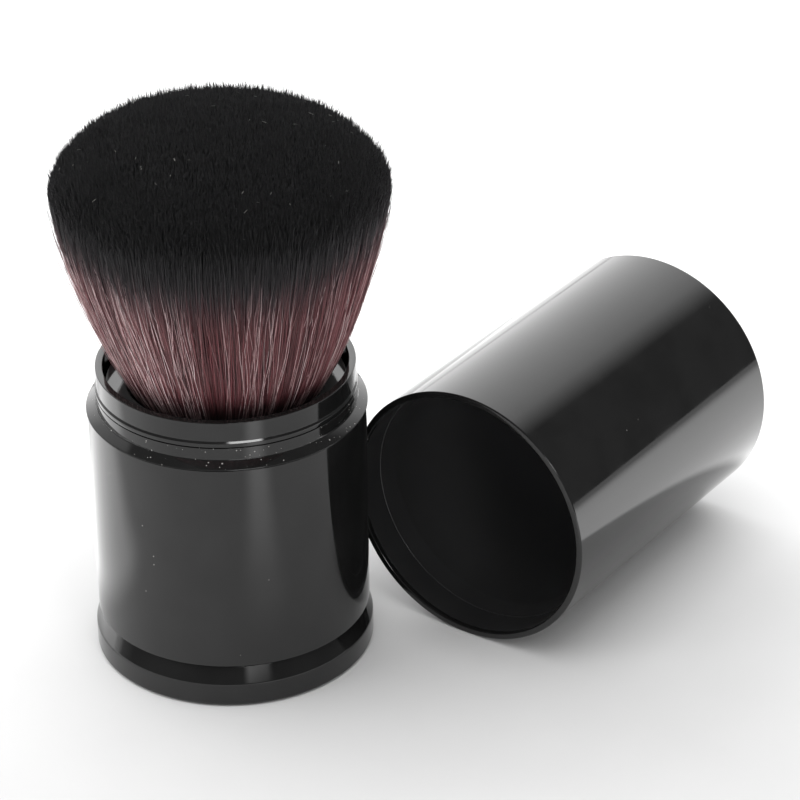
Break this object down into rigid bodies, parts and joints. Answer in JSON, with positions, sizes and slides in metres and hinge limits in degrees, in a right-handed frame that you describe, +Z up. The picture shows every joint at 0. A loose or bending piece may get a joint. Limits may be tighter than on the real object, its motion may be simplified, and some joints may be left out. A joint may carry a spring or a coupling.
{
  "type": "retractable makeup brush",
  "caption": "Retractable face brush: a flared bristle tuft on a round foot, a sleeve that slides up to gather it, and a separate tubular cap lying beside it.",
  "frame": {"origin": "centre of the brush's round base, on the surface it stands on", "axes": "+Z up along the brush's axis, the way the sleeve slides; +Y along the axis of the cap, which lies beside the brush with its mouth towards it; +X towards the side the cap lies on"},
  "size_m": [0.072, 0.0949, 0.0836],
  "materials": {
    "gloss_black_shell": "gloss black lacquer over drawn aluminium",
    "black_plastic": "satin black moulded plastic",
    "liner_plastic": "smooth black moulded plastic",
    "black_rubber": "matt black rubber",
    "steel": "plain turned steel",
    "dark_aluminium": "dark anodised aluminium",
    "amber_resin": "cast amber epoxy",
    "waxed_cord": "waxed cotton cord",
    "bristle_fibre": "fine synthetic fibre, mauve brown with black tips"
  },
  "bodies": {
    "core": {"foot_shell": "gloss_black_shell", "base_plug": "black_plastic", "base_pad": "black_rubber", "base_weight": "steel", "core_tube": "black_plastic", "drag_ring": "black_rubber", "core_head": "black_plastic", "ferrule": "dark_aluminium", "tuft_glue": "amber_resin", "tuft_binding": "waxed_cord", "bristle_tuft": "bristle_fibre"},
    "sleeve": {"sleeve_shell": "gloss_black_shell", "stop_ring": "black_plastic", "sleeve_liner": "black_plastic", "shoulder_ring": "gloss_black_shell", "collar": "gloss_black_shell"},
    "cap": {"cap_shell": "gloss_black_shell", "cap_liner": "liner_plastic"}
  },
  "joints": [
    {"name": "sleeve_slide", "type": "slide", "parent": "core", "child": "sleeve", "axis": [0, 0, 1], "range_m": [0, 0.025], "deforming": ["bristle_tuft"]},
    {"name": "cap_slide", "type": "slide", "parent": "core", "child": "cap", "axis": [0, 1, 0], "range_m": [0, 0.08]}
  ]
}
